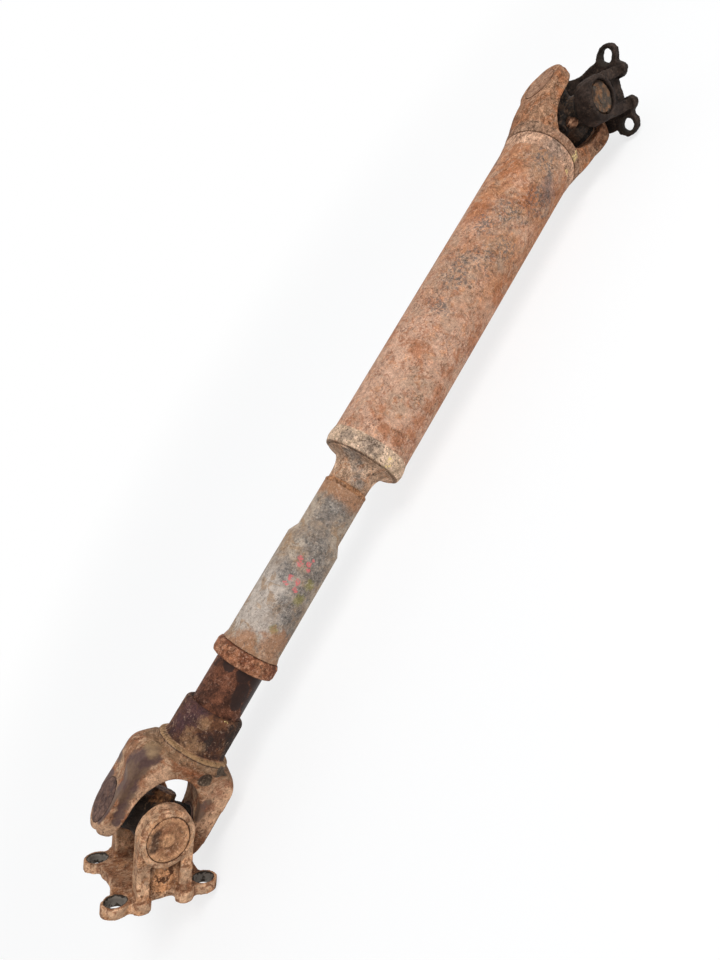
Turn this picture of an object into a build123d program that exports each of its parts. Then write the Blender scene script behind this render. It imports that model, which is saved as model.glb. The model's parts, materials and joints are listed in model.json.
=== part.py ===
from build123d import *
import os

# Drive shaft: a tubular shaft with a sliding spline, and a universal joint with a flange yoke at each end.
# Millimetres. The shaft lies along X, the forks' pivots are vertical (Z), and +X is the end with the
# wide tube. Stations along the shaft are counted from the centre of the lower joint, at the sliding end.

# Universal joint, the same at both ends
cup_diameter = 29.0
cup_span = 72.0
cup_wall = 1.9
cup_floor = 3.3
cup_length = 12.6
cup_boss_radius = 12.3
cup_boss_height = 2.9
cup_nub_radius = 6.2
cup_nub_height = 0.6
cup_dimple_radius = 3.0
trunnion_diameter = 20.0
trunnion_end_gap = 0.4
needle_clearance = 0.03
press_clearance = 0.02
cross_arm_diameter = 26.0
cross_arm_reach = 20.2
cross_hub_radius = 17.0
cross_boss_radius = 9.0
cross_boss_reach = 18.0
cross_nipple_seat = 15.0
cross_nipple_tip = 25.0
nipple_radius = 4.0
seal_radius = 13.2
seal_gap = 0.15
snap_ring_thickness = 1.5
snap_ring_depth = 0.9
snap_ring_opening = 7.0
snap_groove_clearance = 0.15

# Forks
ear_inner = 24.5
ear_rounding = 2.4
fork_ear_face = 38.6
fork_flat_end = 21.0
fork_flat_runout = 14.0
fork_floor = 36.0
fork_gap_straight = 5.0
fork_trough_radius = 9.0
fork_trough_depth = 1.8
fork_trough_start = -5.0
fork_trough_offset = 30.6
fork_dish_radius = 26.0
fork_dish_depth = 2.0
fork_dish_along = 36.0
fork_dish_offset = 29.2
slip_ear_radius = 18.6
slip_ear_nose = 3.6
slip_nose_height = 33.0
slip_fork_crown = 43.0
slip_fork_reach = 50.2
slip_fork_root_radius = 31.5
slip_fork_root_half_width = 27.6
slip_fork_shoulder = 35.0
slip_ring_radius = 28.4
slip_ring_width = 5.6
slip_dimple_radius = 7.0
slip_dimple_sink = 0.5
slip_dimple_place = (41.5, 12.0)
collar_radius = 23.7
collar_rim = 84.9
collar_rounding = 2.2
slip_bore_floor = 44.0
tube_ear_radius = 21.3
tube_ear_nose = 3.4
tube_nose_height = 34.0
tube_fork_crown = 40.6
tube_fork_reach = 45.0
tube_fork_root_radius = 35.0
tube_fork_root_half_width = 25.5
tube_fork_shoulder = 4.0
hub_rim_height = 2.8
hub_back_height = 1.7
hub_rim_width = 7.6
hub_spigot_length = 16.0
hub_recess_radius = 22.0
hub_web = 6.0

# Flange yokes
flange_face = 43.8
flange_back = 36.7
flange_ear_face = 40.4
flange_ear_radius = 18.75
bolt_square = 59.0
bolt_hole_radius = 5.6
bolt_seat_radius = 7.1
bolt_seat_depth = 0.9
lobe_radius = 9.4
flange_waist = 27.0
flange_waist_radius = 36.0
flange_edge = 29.4
flange_lug_edge = 35.0
foot_radius = 6.2
foot_spacing = 28.5
foot_reach = 36.2
flange_corner_rounding = 3.0
rib_width = 8.4
rib_start = 3.0
rib_lap = 1.7
rib_foot = 38.8
rib_top = 37.6
web_outer = 33.0
pilot_radius = 18.0
pilot_depth = 3.0

# Sliding spline
journal_radius = 19.25
journal_length = 106.8
spline_teeth = 16
spline_tip_radius = 15.0
spline_root_radius = 13.0
spline_tooth_width = 2.9
spline_length = 88.0
spline_tip_clearance = 0.3
spline_flank_clearance = 0.08
journal_clearance = 0.08
slip_in = 30.0
slip_end_gap = 1.0

# Sleeve, dust cap and neck
cap_face = 119.8
cap_length = 12.9
cap_radius = 25.6
cap_rounding = 3.2
cap_wall = 1.2
cap_lip_gap = 0.35
sleeve_start = 124.5
sleeve_radius = 22.0
sleeve_flare_radius = 23.3
sleeve_flare_length = 5.0
sleeve_large_end = 224.8
sleeve_taper = 8.0
sleeve_stock_radius = 18.0
sleeve_end = 272.8
seal_land = 0.1
neck_radius = 16.8
neck_weld_width = 4.2
neck_weld_radius = 18.2
neck_face = 300.1
neck_shoulder_drop = 2.9
neck_curve = 0.62
neck_spigot_length = 14.0
neck_recess_radius = 22.0
neck_recess_depth = 20.0
nipple_station = 206.0
sleeve_nipple_seat = 2.0
sleeve_nipple_height = 8.0

# Main tube and its welds
tube_radius = 32.5
tube_wall = 2.5
tube_start = 306.8
tube_end = 612.2
tube_end_weld_height = 1.4
tube_end_weld_length = 14.0
yoke_weld_height = 1.2
yoke_weld_length = 12.0
weld_root = 0.6

# Rest pose: both flange yokes droop, and each is swivelled a little about its fork pivot
droop = 27.5
lower_swivel = 8.0
upper_swivel = 6.0

# Sizes that follow from the ones above
cup_radius = cup_diameter / 2
cup_shoulder = cup_span / 2
cup_mouth = cup_shoulder - cup_length
cup_bore_radius = cup_radius - cup_wall
trunnion_radius = trunnion_diameter / 2
trunnion_end = cup_shoulder - cup_floor - trunnion_end_gap
groove_radius = cup_radius + snap_ring_depth
hub_rim = tube_end + hub_rim_width
upper_joint = hub_rim + tube_fork_reach
cap_seam = cap_face + cap_length
journal_end = slip_bore_floor + journal_length
spline_end = journal_end + spline_length
counterbore_end = journal_end + slip_in + slip_end_gap
tube_bore_radius = tube_radius - tube_wall
half_square = bolt_square / 2
hub_rim_radius = tube_radius + hub_rim_height
hub_back_radius = tube_radius + hub_back_height
neck_shoulder_radius = tube_radius - neck_shoulder_drop
tube_end_weld_radius = tube_radius + tube_end_weld_height
yoke_weld_radius = tube_radius + yoke_weld_height

ALONG_Y = Rot(0, 0, 90)
ALONG_Z = Rot(0, -90, 0)
BACKWARDS = Rot(0, 0, 180)


def turned(points, rounding=0.0):
    """A solid turned about X from points given as (along, radius)."""
    if rounding:
        edge = FilletPolyline(*points, radius=rounding)
    else:
        edge = Polyline(*points)
    outline = edge + Line(points[-1], points[0])
    return revolve(make_face(outline), axis=Axis.X)


def cylinder(start, end, radius):
    return turned([(start, 0), (start, radius), (end, radius), (end, 0)])


def ring(start, end, inner, outer):
    return turned([(start, inner), (start, outer), (end, outer), (end, inner)])


def bearing_cup():
    """Needle bearing cup along +X, with the raised boss that passes through the snap ring."""
    outer = cup_radius - press_clearance
    boss_top = cup_shoulder + cup_boss_height
    nub_top = boss_top + cup_nub_height
    floor = cup_shoulder - cup_floor
    return turned([
        (boss_top, 0),
        (boss_top, cup_dimple_radius),
        (nub_top, cup_dimple_radius + cup_nub_height),
        (nub_top, cup_nub_radius - cup_nub_height),
        (boss_top, cup_nub_radius),
        (boss_top, cup_boss_radius),
        (cup_shoulder, cup_boss_radius),
        (cup_shoulder, outer),
        (cup_mouth, outer),
        (cup_mouth, cup_bore_radius),
        (floor, cup_bore_radius),
        (floor, 0),
    ])


def needle_set():
    """The full set of needles between trunnion and cup, as one ring."""
    inner = trunnion_radius + needle_clearance
    outer = cup_bore_radius - press_clearance
    floor = cup_shoulder - cup_floor - trunnion_end_gap
    return ring(cup_mouth + snap_ring_depth, floor, inner, outer)


def snap_ring():
    """Open ring that sits in the ear's groove and holds the cup down."""
    start = cup_shoulder + press_clearance
    inner = cup_boss_radius + seal_gap
    outer = groove_radius - snap_groove_clearance
    whole = ring(start, start + snap_ring_thickness, inner, outer)
    gap = Box(2 * cup_span, snap_ring_opening, 2 * snap_ring_depth + cup_radius)
    return whole - Pos(start, 0, -cup_radius) * gap


def trunnion_seal():
    """Rubber lip ring between the cross and the mouth of its cup."""
    start = cross_arm_reach + press_clearance
    return ring(start, cup_mouth - seal_gap, trunnion_radius + press_clearance, seal_radius)


def nipple(base, tip):
    """Grease nipple along +X from its seat at base to its ball end at tip."""
    length = tip - base
    return turned([
        (base, 0),
        (base, nipple_radius),
        (base + 0.45 * length, nipple_radius),
        (base + 0.5 * length, 2.4),
        (base + 0.7 * length, 2.2),
        (base + 0.78 * length, 3.0),
        (base + 0.92 * length, 2.6),
        (tip, 1.4),
        (tip, 0),
    ])


def cross(shaft_side):
    """Four-armed cross; its hub boss faces the shaft, on the side that shaft_side gives."""
    arm = turned([
        (-trunnion_end, 0),
        (-trunnion_end, trunnion_radius - 1),
        (1 - trunnion_end, trunnion_radius),
        (-cross_arm_reach, trunnion_radius),
        (-cross_arm_reach, cross_arm_diameter / 2),
        (cross_arm_reach, cross_arm_diameter / 2),
        (cross_arm_reach, trunnion_radius),
        (trunnion_end - 1, trunnion_radius),
        (trunnion_end, trunnion_radius - 1),
        (trunnion_end, 0),
    ])
    hub = Sphere(cross_hub_radius)
    boss = cylinder(0, cross_boss_reach, cross_boss_radius)
    if shaft_side < 0:
        boss = BACKWARDS * boss
    seat = cylinder(cross_nipple_seat, cross_nipple_tip, nipple_radius + press_clearance)
    return ALONG_Z * arm + ALONG_Y * arm + hub + boss - cross_nipple_place(shaft_side) * seat


def cross_nipple_place(shaft_side):
    """Turn to the nipple's corner between two arms: the flange's side below, the shaft's side above."""
    return Rot(0, 0, 135) if shaft_side > 0 else Rot(0, 0, -135)


def ear_boss(radius, face):
    """Round boss of one ear along +X, before its bore."""
    return turned([
        (ear_inner, 0),
        (ear_inner, radius - 0.4 * ear_rounding),
        (ear_inner + 0.4 * ear_rounding, radius),
        (face - ear_rounding, radius),
        (face - 0.3 * ear_rounding, radius - 0.3 * ear_rounding),
        (face, radius - ear_rounding),
        (face, 0),
    ])


def ear_bores(turn, face):
    """Cup bore and snap ring grooves through a pair of ears on the axis that turn gives."""
    bore = cylinder(-face - 2, face + 2, cup_radius)
    groove_end = cup_shoulder + snap_ring_thickness + snap_groove_clearance
    groove = ring(cup_shoulder, groove_end, 0, groove_radius)
    return turn * (bore + groove + BACKWARDS * groove)


def fork_hollow(half_width):
    """Hollow forged into the side of one arm: a trough from the ear that opens into a dish at the root."""
    dish_height = half_width + fork_dish_radius - fork_dish_depth
    dish = Pos(fork_dish_along, -dish_height, fork_dish_offset) * Sphere(fork_dish_radius)
    trough_height = half_width + fork_trough_radius - fork_trough_depth
    trough = cylinder(fork_trough_start, fork_dish_along, fork_trough_radius)
    trough += Pos(fork_trough_start, 0, 0) * Sphere(fork_trough_radius)
    return dish + Pos(0, -trough_height, fork_trough_offset) * trough


def fork(ear_radius, nose, nose_height, crown_radius, shoulder, reach, root_radius, root_half_width):
    """Forged fork: two arms from a round root at reach down to flat-faced ears on the Z axis."""
    crown = Line((0, crown_radius), (shoulder, crown_radius))
    slope = 0.55 * (reach - shoulder)
    drop = Bezier(
        (shoulder, crown_radius),
        (shoulder + slope, crown_radius),
        (reach - 0.5 * slope, root_radius + 0.5 * (crown_radius - root_radius)),
        (reach, root_radius),
    )
    closing = Polyline((reach, root_radius), (reach, 0), (0, 0), (0, crown_radius))
    envelope = revolve(make_face(crown + drop + closing), axis=Axis.X)

    flare = fork_floor - 2
    side = Bezier(
        (flare, ear_radius),
        (flare + 0.5 * (reach - flare), ear_radius),
        (reach - 3, root_half_width - 1.5),
        (reach, root_half_width),
    )
    rail = Polyline((reach, root_half_width), (reach, 0), (0, 0), (0, ear_radius), (flare, ear_radius))
    half = make_face(side + rail)
    arms = envelope & extrude(half + mirror(half, Plane.XZ), 2 * crown_radius, both=True)

    gap_depth = fork_floor - fork_gap_straight
    gap = Pos(fork_gap_straight, 0) * Ellipse(gap_depth, ear_inner)
    gap += Pos(fork_gap_straight - reach, 0) * Rectangle(2 * reach, 2 * ear_inner)
    body = arms - extrude(Plane.XZ * gap, 2 * crown_radius, both=True)

    flat = Pos(fork_flat_end - reach, fork_ear_face + crown_radius) * Rectangle(2 * reach, 2 * crown_radius)
    flat += Pos(fork_flat_end, fork_ear_face + fork_flat_runout) * Circle(fork_flat_runout)
    milled = extrude(Plane.XZ * flat, 2 * crown_radius, both=True)
    body -= milled + mirror(milled, Plane.XY)

    tip = Pos(0, 0, nose) * ear_boss(ear_radius - 1, nose_height)
    ear = ALONG_Z * (ear_boss(ear_radius, fork_ear_face) + tip)
    body += ear + mirror(ear, Plane.XY)
    hollow = fork_hollow(ear_radius)
    hollows = hollow + mirror(hollow, Plane.XZ)
    return body - hollows - mirror(hollows, Plane.XY)


def slip_yoke():
    """Fork with a round collar that holds the splined shaft."""
    ring_end = slip_fork_reach + slip_ring_width
    root = turned([
        (slip_fork_reach - 8, 0),
        (slip_fork_reach - 8, slip_ring_radius - 5),
        (slip_fork_reach, slip_ring_radius - 0.4),
        (slip_fork_reach + 0.8, slip_ring_radius),
        (ring_end - 2.2, slip_ring_radius),
        (ring_end - 0.7, slip_ring_radius - 0.7),
        (ring_end, slip_ring_radius - 2.4),
        (ring_end + 0.3, collar_radius + 0.8),
        (ring_end + 1.5, collar_radius),
        (collar_rim - collar_rounding, collar_radius),
        (collar_rim - 0.3 * collar_rounding, collar_radius - 0.5 * collar_rounding),
        (collar_rim, collar_radius - collar_rounding),
        (collar_rim, 0),
    ])
    body = fork(
        slip_ear_radius,
        slip_ear_nose,
        slip_nose_height,
        slip_fork_crown,
        slip_fork_shoulder,
        slip_fork_reach,
        slip_fork_root_radius,
        slip_fork_root_half_width,
    ) + root
    body -= cylinder(slip_bore_floor, collar_rim + 1, journal_radius + press_clearance)
    body -= ear_bores(ALONG_Z, fork_ear_face)
    dimple_along, dimple_drop = slip_dimple_place
    dimple_height = slip_ear_radius - slip_dimple_sink + slip_dimple_radius
    dimple = Pos(dimple_along, -dimple_height, -dimple_drop) * Sphere(slip_dimple_radius)
    return body - dimple


def tube_yoke():
    """Fork with a stepped hub that is welded into the end of the main tube."""
    back = tube_fork_reach + hub_rim_width
    hub = turned([
        (tube_fork_reach - 6, 0),
        (tube_fork_reach - 6, tube_fork_root_radius - 8),
        (tube_fork_reach, tube_fork_root_radius - 0.8),
        (tube_fork_reach, hub_rim_radius - 0.5),
        (tube_fork_reach + 0.5, hub_rim_radius),
        (back - 1, hub_back_radius),
        (back, hub_back_radius - 0.6),
        (back, tube_bore_radius - press_clearance),
        (back + hub_spigot_length - 1.5, tube_bore_radius - press_clearance),
        (back + hub_spigot_length, tube_bore_radius - 1.5),
        (back + hub_spigot_length, 0),
    ])
    body = fork(
        tube_ear_radius,
        tube_ear_nose,
        tube_nose_height,
        tube_fork_crown,
        tube_fork_shoulder,
        tube_fork_reach,
        tube_fork_root_radius,
        tube_fork_root_half_width,
    ) + hub
    body -= cylinder(fork_floor + hub_web, back + hub_spigot_length + 1, hub_recess_radius)
    return body - ear_bores(ALONG_Z, fork_ear_face)


def flange_outline():
    """Four bolt lobes on a square, each joined to a foot beside an ear, and a waist on each free side."""
    plate = Rectangle(2 * flange_edge, bolt_square)
    lug_height = half_square - foot_spacing / 2
    for side in (-1, 1):
        for other in (-1, 1):
            lug_middle = other * (foot_spacing / 2 + lug_height / 2)
            plate += Pos(side * flange_lug_edge / 2, lug_middle) * Rectangle(flange_lug_edge, lug_height)
            plate += Pos(side * half_square, other * half_square) * Circle(lobe_radius)
            plate += Pos(side * foot_reach, other * foot_spacing / 2) * Circle(foot_radius)
        plate -= Pos(0, side * (flange_waist + flange_waist_radius)) * Circle(flange_waist_radius)
    grown = offset(plate, flange_corner_rounding, kind=Kind.ARC)
    return offset(grown, -flange_corner_rounding, kind=Kind.ARC)


def flange_ear():
    """One ear of a flange yoke on the +Y side: round boss, recessed web and two ribs down to the feet."""
    spread = foot_spacing / 2 + rib_lap
    stem = make_face(Polyline(
        (0, -flange_ear_radius),
        (flange_face - 3, -spread),
        (flange_face - 3, spread),
        (0, flange_ear_radius),
        (0, -flange_ear_radius),
    ))
    web = Plane.XZ.offset(-ear_inner) * stem
    web = extrude(web, -(web_outer - ear_inner))
    ribs = []
    for side in (-1, 1):
        middle = side * foot_spacing / 2
        profile = make_face(Polyline(
            (rib_start, ear_inner),
            (rib_start, rib_top),
            (flange_back - 4, rib_top + 0.6),
            (flange_back + 1, rib_foot),
            (flange_back + 1, ear_inner),
            (rib_start, ear_inner),
        ))
        ribs.append(Pos(0, 0, middle) * extrude(profile, rib_width / 2, both=True))
    boss = ear_boss(flange_ear_radius, flange_ear_face)
    return web + ribs[0] + ribs[1] + ALONG_Y * boss


def flange_yoke():
    """Flange yoke with its ears on the Y axis and its bolted face square to +X."""
    plate = extrude(Plane.YZ.offset(flange_back) * flange_outline(), flange_face - flange_back)
    ear = flange_ear()
    body = plate + ear + mirror(ear, Plane.XZ)
    body -= cylinder(flange_face - pilot_depth, flange_face + 1, pilot_radius)
    for side in (-1, 1):
        for other in (-1, 1):
            place = Pos(0, side * half_square, other * half_square)
            body -= place * cylinder(flange_back - 1, flange_face + 1, bolt_hole_radius)
            body -= place * cylinder(flange_back - 4, flange_back + bolt_seat_depth, bolt_seat_radius)
    return body - ear_bores(ALONG_Y, flange_ear_face)


def spline_section(growth, flank):
    """Straight-sided spline section; growth and flank open it up for the female half."""
    section = Circle(spline_root_radius + growth)
    tooth_height = spline_tip_radius + growth
    for tooth in range(spline_teeth):
        blade = Pos(tooth_height / 2, 0) * Rectangle(tooth_height, spline_tooth_width + 2 * flank)
        section += Rot(0, 0, tooth * 360 / spline_teeth) * blade
    return section


def slip_shaft():
    """Smooth journal that runs in the dust cap, and the splines that drive the sleeve."""
    journal = cylinder(slip_bore_floor + press_clearance, journal_end, journal_radius)
    splines = extrude(Plane.YZ.offset(journal_end) * spline_section(0, 0), spline_length)
    nose = turned([
        (journal_end, 0),
        (journal_end, spline_tip_radius + 3),
        (spline_end - 3, spline_tip_radius + 3),
        (spline_end, spline_root_radius - 0.5),
        (spline_end, 0),
    ])
    return journal + (splines & nose)


def spline_sleeve():
    """Stepped sleeve with a counterbore for the journal and internal splines behind it."""
    body = turned([
        (sleeve_start, 0),
        (sleeve_start, sleeve_radius),
        (cap_seam, sleeve_radius),
        (cap_seam + 0.4, sleeve_flare_radius),
        (cap_seam + sleeve_flare_length, sleeve_radius),
        (sleeve_large_end, sleeve_radius),
        (sleeve_large_end + sleeve_taper, sleeve_stock_radius),
        (sleeve_end, sleeve_stock_radius),
        (sleeve_end, 0),
    ])
    body -= cylinder(sleeve_start - 1, counterbore_end, journal_radius + journal_clearance)
    section = spline_section(spline_tip_clearance, spline_flank_clearance)
    female = Plane.YZ.offset(counterbore_end - 1) * section
    body -= extrude(female, sleeve_end - counterbore_end + 2)
    seat_floor = sleeve_radius - sleeve_nipple_seat
    seat = cylinder(seat_floor, sleeve_radius + 1, nipple_radius + press_clearance)
    return body - Pos(nipple_station, 0, 0) * ALONG_Y * seat


def dust_cap():
    """Pressed cap over the mouth of the sleeve, with a rolled bead and a lip round the journal."""
    hole = journal_radius + cap_lip_gap
    outer = cap_radius
    bore = sleeve_radius + press_clearance
    return turned([
        (cap_face, hole),
        (cap_face, outer - cap_rounding),
        (cap_face + 0.3 * cap_rounding, outer - 0.3 * cap_rounding),
        (cap_face + cap_rounding, outer),
        (cap_seam - cap_rounding, outer),
        (cap_seam - 0.3 * cap_rounding, outer - 0.35 * cap_rounding),
        (cap_seam - 0.1, outer - cap_rounding),
        (cap_seam - 0.1, bore),
        (cap_face + cap_wall, bore),
        (cap_face + cap_wall, hole),
    ])


def dust_seal():
    """Felt ring between the dust cap and the sleeve's end face."""
    start = cap_face + cap_wall + press_clearance
    return ring(start, sleeve_start - press_clearance, journal_radius + seal_land, sleeve_radius - 0.1)


def spline_neck():
    """Turned neck that joins the narrow sleeve to the wide tube, with a spigot inside the tube."""
    start = sleeve_end + neck_weld_width
    curve = Bezier(
        (start + 1, neck_radius),
        (start + 1 + neck_curve * (neck_face - start), neck_radius),
        (neck_face - 2, neck_radius + 3),
        (neck_face - 1.5, neck_shoulder_radius),
    )
    spigot_end = tube_start + neck_spigot_length
    spigot_radius = tube_bore_radius - press_clearance
    rim = Polyline(
        (neck_face - 1.5, neck_shoulder_radius),
        (neck_face, neck_shoulder_radius),
        (neck_face, tube_radius),
        (tube_start, tube_radius),
        (tube_start, spigot_radius),
        (spigot_end, spigot_radius),
        (spigot_end, 0),
        (sleeve_end, 0),
        (sleeve_end, neck_radius - weld_root),
        (start, neck_radius - weld_root),
        (start + 1, neck_radius),
    )
    body = revolve(make_face(curve + rim), axis=Axis.X)
    return body - cylinder(spigot_end - neck_recess_depth, spigot_end + 1, neck_recess_radius)


def neck_weld():
    """Weld bead between sleeve and neck."""
    inner = neck_radius - weld_root + press_clearance
    start = sleeve_end + press_clearance
    end = sleeve_end + neck_weld_width - press_clearance
    return turned([
        (start, inner),
        (start, neck_weld_radius - 0.5),
        (start + 0.35 * neck_weld_width, neck_weld_radius),
        (end - 0.35 * neck_weld_width, neck_weld_radius - 0.1),
        (end, neck_radius),
        (end, inner),
    ])


def tube_end_weld():
    """Wide bead over the joint between neck and tube."""
    inner = tube_radius + press_clearance
    start = neck_face + 0.4
    end = start + tube_end_weld_length
    return turned([
        (start, inner),
        (start + 0.5, tube_end_weld_radius - 0.9),
        (start + 0.35 * tube_end_weld_length, tube_end_weld_radius),
        (start + 0.6 * tube_end_weld_length, tube_end_weld_radius - 0.2),
        (end - 1.5, inner + 0.4),
        (end, inner),
    ])


def yoke_weld():
    """Bead over the joint between tube and tube yoke."""
    inner = tube_radius + press_clearance
    end = tube_end - press_clearance
    start = end - yoke_weld_length
    return turned([
        (start, inner),
        (start + 1.5, inner + 0.3),
        (start + 0.6 * yoke_weld_length, yoke_weld_radius - 0.3),
        (end - 1, yoke_weld_radius),
        (end, yoke_weld_radius - 0.6),
        (end, inner),
    ])


def joint_pieces(end, fork_place, cross_place, flange_place, shaft_side):
    """Everything of one universal joint except its two yokes, placed in the shaft's frame."""
    pieces = {}
    ears = {"top": ALONG_Z, "bottom": Rot(0, 90, 0)}
    sides = {"front": Rot(0, 0, -90), "back": ALONG_Y}
    for yoke, place, turns in (("fork", fork_place, ears), ("flange", flange_place, sides)):
        bores = []
        for name, turn in turns.items():
            bores.append(place * turn)
            pieces[f"{end}_{yoke}_cup_{name}"] = place * turn * bearing_cup()
        pieces[f"{end}_{yoke}_snap_rings"] = Compound([bore * snap_ring() for bore in bores])
        pieces[f"{end}_{yoke}_needles"] = Compound([bore * needle_set() for bore in bores])
    arms = list(ears.values()) + list(sides.values())
    pieces[f"{end}_cross"] = cross_place * cross(shaft_side)
    pieces[f"{end}_trunnion_seals"] = Compound([cross_place * arm * trunnion_seal() for arm in arms])
    boss = cross_nipple_place(shaft_side)
    nipple_base = cross_nipple_seat + press_clearance
    pieces[f"{end}_grease_nipple"] = cross_place * boss * nipple(nipple_base, cross_nipple_tip)
    return pieces


lower_fork = Pos(0, 0, 0)
lower_cross_place = Rot(0, 0, lower_swivel)
lower_flange_place = lower_cross_place * Rot(0, -droop, 0) * BACKWARDS
upper_fork = Pos(upper_joint, 0, 0)
upper_cross_place = upper_fork * Rot(0, 0, upper_swivel)
upper_flange_place = upper_cross_place * Rot(0, droop, 0)

nodes = {
    "main_tube": ring(tube_start, tube_end, tube_bore_radius, tube_radius),
    "tube_yoke": upper_fork * BACKWARDS * tube_yoke(),
    "yoke_weld": yoke_weld(),
    "tube_end_weld": tube_end_weld(),
    "spline_neck": spline_neck(),
    "neck_weld": neck_weld(),
    "spline_sleeve": spline_sleeve(),
    "sleeve_nipple": Pos(nipple_station, 0, 0) * ALONG_Y * nipple(
        sleeve_radius - sleeve_nipple_seat,
        sleeve_radius + sleeve_nipple_height,
    ),
    "dust_cap": dust_cap(),
    "dust_seal": dust_seal(),
    "slip_yoke": slip_yoke(),
    "slip_shaft": slip_shaft(),
    "lower_flange_yoke": lower_flange_place * flange_yoke(),
    "upper_flange_yoke": upper_flange_place * flange_yoke(),
}
nodes.update(joint_pieces("lower", lower_fork, lower_cross_place, lower_flange_place, 1))
nodes.update(joint_pieces("upper", upper_fork, upper_cross_place, upper_flange_place, -1))

# The part stands on z = 0 on the corners of its flanges, centred over the origin
whole = Compound(list(nodes.values())).bounding_box()
stand = Pos(-whole.center().X, -whole.center().Y, -whole.min.Z)

os.makedirs("parts", exist_ok=True)
for name, shape in nodes.items():
    export_step(stand * shape, f"parts/{name}.step")

print("lower joint at", (stand * Pos(0, 0, 0)).position)
print("upper joint at", (stand * upper_fork).position)
print("lower flange face at", (stand * lower_flange_place * Pos(flange_face, 0, 0)).position)
print("upper flange face at", (stand * upper_flange_place * Pos(flange_face, 0, 0)).position)
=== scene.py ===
import json
import math

import bpy
from mathutils import Matrix, Vector


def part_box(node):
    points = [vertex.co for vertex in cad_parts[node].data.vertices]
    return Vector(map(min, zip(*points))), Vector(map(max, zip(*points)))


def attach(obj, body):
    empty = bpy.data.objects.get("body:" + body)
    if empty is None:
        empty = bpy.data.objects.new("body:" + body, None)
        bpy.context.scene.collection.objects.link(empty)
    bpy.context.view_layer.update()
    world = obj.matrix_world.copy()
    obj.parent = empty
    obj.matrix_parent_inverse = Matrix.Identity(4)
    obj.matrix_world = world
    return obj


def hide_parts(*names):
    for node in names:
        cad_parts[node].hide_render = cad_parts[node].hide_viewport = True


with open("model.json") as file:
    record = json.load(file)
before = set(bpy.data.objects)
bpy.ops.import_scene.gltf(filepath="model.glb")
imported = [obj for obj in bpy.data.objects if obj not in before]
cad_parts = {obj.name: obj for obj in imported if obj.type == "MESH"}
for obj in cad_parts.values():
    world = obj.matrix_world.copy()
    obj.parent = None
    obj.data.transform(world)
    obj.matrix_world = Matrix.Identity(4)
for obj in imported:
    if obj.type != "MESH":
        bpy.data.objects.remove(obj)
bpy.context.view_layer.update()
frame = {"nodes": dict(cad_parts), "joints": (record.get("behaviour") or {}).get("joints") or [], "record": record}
nodes = frame["nodes"]
body_of = {name: body for body, names in frame["record"]["behaviour"]["bodies"].items() for name in names}
hinges = {joint["name"]: joint for joint in frame["joints"] if joint["type"] == "hinge"}
hinge_at = {name: Vector(hinge["pos_m"]) for name, hinge in hinges.items()}
hinge_axis = {name: Vector(hinge["axis"]).normalized() for name, hinge in hinges.items()}
mounts = {mount["name"]: mount for mount in frame["record"]["mounts"]}

MM = 0.001
LOWER_JOINT = hinge_at["lower_fork_pivot"]
UPPER_JOINT = hinge_at["upper_fork_pivot"]
LOWER_EARS = hinge_axis["lower_flange_pivot"]
UPPER_EARS = hinge_axis["upper_flange_pivot"]
LOWER_OUT = Vector(mounts["lower_flange_bolts"]["axis"]).normalized()
UPPER_OUT = Vector(mounts["upper_flange_bolts"]["axis"]).normalized()

# Outside radii of the round pieces, in millimetres, for the patches that lie on them
TUBE_RADIUS = 32.5
TUBE_WELD_RADIUS = 33.5
SLEEVE_RADIUS = 22
SLEEVE_TAIL_RADIUS = 18
COLLAR_RADIUS = 23.7
JOURNAL_RADIUS = 19.3

# Flange yokes, in millimetres: heights above the joint's centre and distances out from the middle
EAR_FLOOR = (33.0, 37.1)
EAR_WEB = (28, 36)
BOLT_FACE = 38.5
BOLT_OFFSET = 29.5
BOLT_RIM_RADIUS = 7.8
BOLT_BARE_RADIUS = 6.6

# Colours that several pieces share
# The first two darks also serve as painted shade in corners
RUST_DARK_AND_SHADE = (0.06, 0.03, 0.02)
SOOT_AND_SHADE = (0.03, 0.021, 0.017)
GOLD = (0.80, 0.60, 0.25)


def on_shaft(along, turn, radius):
    """A point on a round part: millimetres from the lower joint, degrees up from the -Y side, radius."""
    turn = math.radians(turn)
    centre = LOWER_JOINT + Vector((along * MM, 0, 0))
    return centre + Vector((0, -math.cos(turn), math.sin(turn))) * radius * MM


def around(radius, *patches):
    """Patches on a round part of that radius, from (millimetres along, degrees up, patch radius)."""
    return [(on_shaft(along, turn, radius), size) for along, turn, size in patches]


def beside(joint, *patches):
    """Patches near a joint's centre, from (x, y, z, patch radius) in millimetres."""
    return [(joint + Vector((x, y, z)) * MM, size) for x, y, z, size in patches]


def toned(colour, share):
    """A colour made darker or lighter."""
    return tuple(share * channel for channel in colour)


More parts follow.
